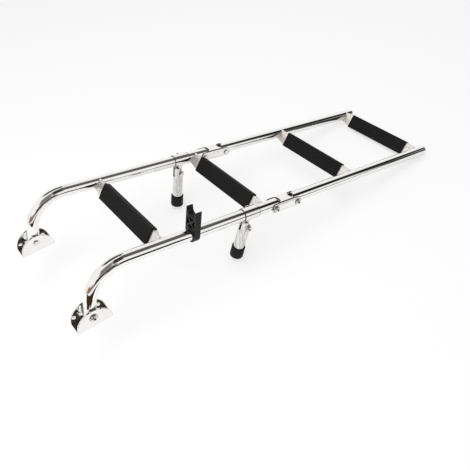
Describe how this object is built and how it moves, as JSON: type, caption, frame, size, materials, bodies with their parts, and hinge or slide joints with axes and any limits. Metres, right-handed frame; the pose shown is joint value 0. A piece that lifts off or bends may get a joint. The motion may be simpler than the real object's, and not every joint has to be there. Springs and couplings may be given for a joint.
{
  "type": "folding boat ladder",
  "caption": "Folding stainless boat ladder with bent rails on pivoting deck brackets, rubber treads, fold hinges, stand-off legs and a storage clip.",
  "frame": {"origin": "centre of the screw holes of both deck brackets, in the plane of their bases", "axes": "+X along the ladder from the brackets to the rail tips, +Y to the left rail, +Z away from the deck; the bracket bases are level and the ladder slopes down to its tips"},
  "size_m": [0.8933, 0.2706, 0.1908],
  "materials": {
    "polished_tube": "mirror polished stainless steel",
    "sheet_steel": "polished stainless steel sheet",
    "tread_steel": "brushed stainless steel",
    "fastener_steel": "polished stainless steel",
    "plug_steel": "turned stainless steel",
    "black_rubber": "matte moulded rubber",
    "clip_plastic": "satin black plastic"
  },
  "bodies": {
    "upper_section": {"upper_rail_left": "polished_tube", "upper_rail_right": "polished_tube", "tread_1": "tread_steel", "tread_pad_1": "black_rubber", "tread_2": "tread_steel", "tread_pad_2": "black_rubber", "leg_tee_left": "polished_tube", "leg_tee_right": "polished_tube", "tee_screw_left": "fastener_steel", "tee_screw_right": "fastener_steel", "upper_hinge_plug_left": "plug_steel", "upper_hinge_plug_right": "plug_steel", "storage_clip": "clip_plastic"},
    "left_bracket": {"deck_bracket_left": "sheet_steel", "bracket_pin_left": "fastener_steel"},
    "right_bracket": {"deck_bracket_right": "sheet_steel", "bracket_pin_right": "fastener_steel"},
    "left_leg": {"leg_tube_left": "polished_tube", "leg_cap_left": "black_rubber", "leg_pin_left": "fastener_steel"},
    "right_leg": {"leg_tube_right": "polished_tube", "leg_cap_right": "black_rubber", "leg_pin_right": "fastener_steel"},
    "hinge_links": {"hinge_link_left": "sheet_steel", "hinge_link_right": "sheet_steel", "upper_hinge_pin_left": "fastener_steel", "upper_hinge_pin_right": "fastener_steel", "lower_hinge_pin_left": "fastener_steel", "lower_hinge_pin_right": "fastener_steel"},
    "lower_section": {"lower_rail_left": "polished_tube", "lower_rail_right": "polished_tube", "tread_3": "tread_steel", "tread_pad_3": "black_rubber", "tread_4": "tread_steel", "tread_pad_4": "black_rubber", "lower_hinge_plug_left": "plug_steel", "lower_hinge_plug_right": "plug_steel", "rail_end_plug_left": "clip_plastic", "rail_end_plug_right": "clip_plastic"}
  },
  "joints": [
    {"name": "left_bracket_swing", "type": "hinge", "parent": "upper_section", "child": "left_bracket", "pos_m": [0, 0.116, 0.0205], "axis": [0, 1, 0], "range_deg": [-75, 95]},
    {"name": "right_bracket_swing", "type": "hinge", "parent": "upper_section", "child": "right_bracket", "pos_m": [0, -0.116, 0.0205], "axis": [0, 1, 0], "range_deg": [-75, 95]},
    {"name": "left_leg_fold", "type": "hinge", "parent": "upper_section", "child": "left_leg", "pos_m": [0.32619, 0.116, 0.01465], "axis": [0, 1, 0], "range_deg": [0, 90]},
    {"name": "right_leg_fold", "type": "hinge", "parent": "upper_section", "child": "right_leg", "pos_m": [0.32626, -0.11112, 0.01505], "axis": [0.0309, 0.9863, 0.1621], "range_deg": [0, 90]},
    {"name": "link_fold", "type": "hinge", "parent": "upper_section", "child": "hinge_links", "pos_m": [0.3906, 0, 0.02944], "axis": [0, -1, 0], "range_deg": [0, 90]},
    {"name": "section_fold", "type": "hinge", "parent": "hinge_links", "child": "lower_section", "pos_m": [0.44462, 0, 0.01913], "axis": [0, -1, 0], "range_deg": [0, 90]}
  ]
}
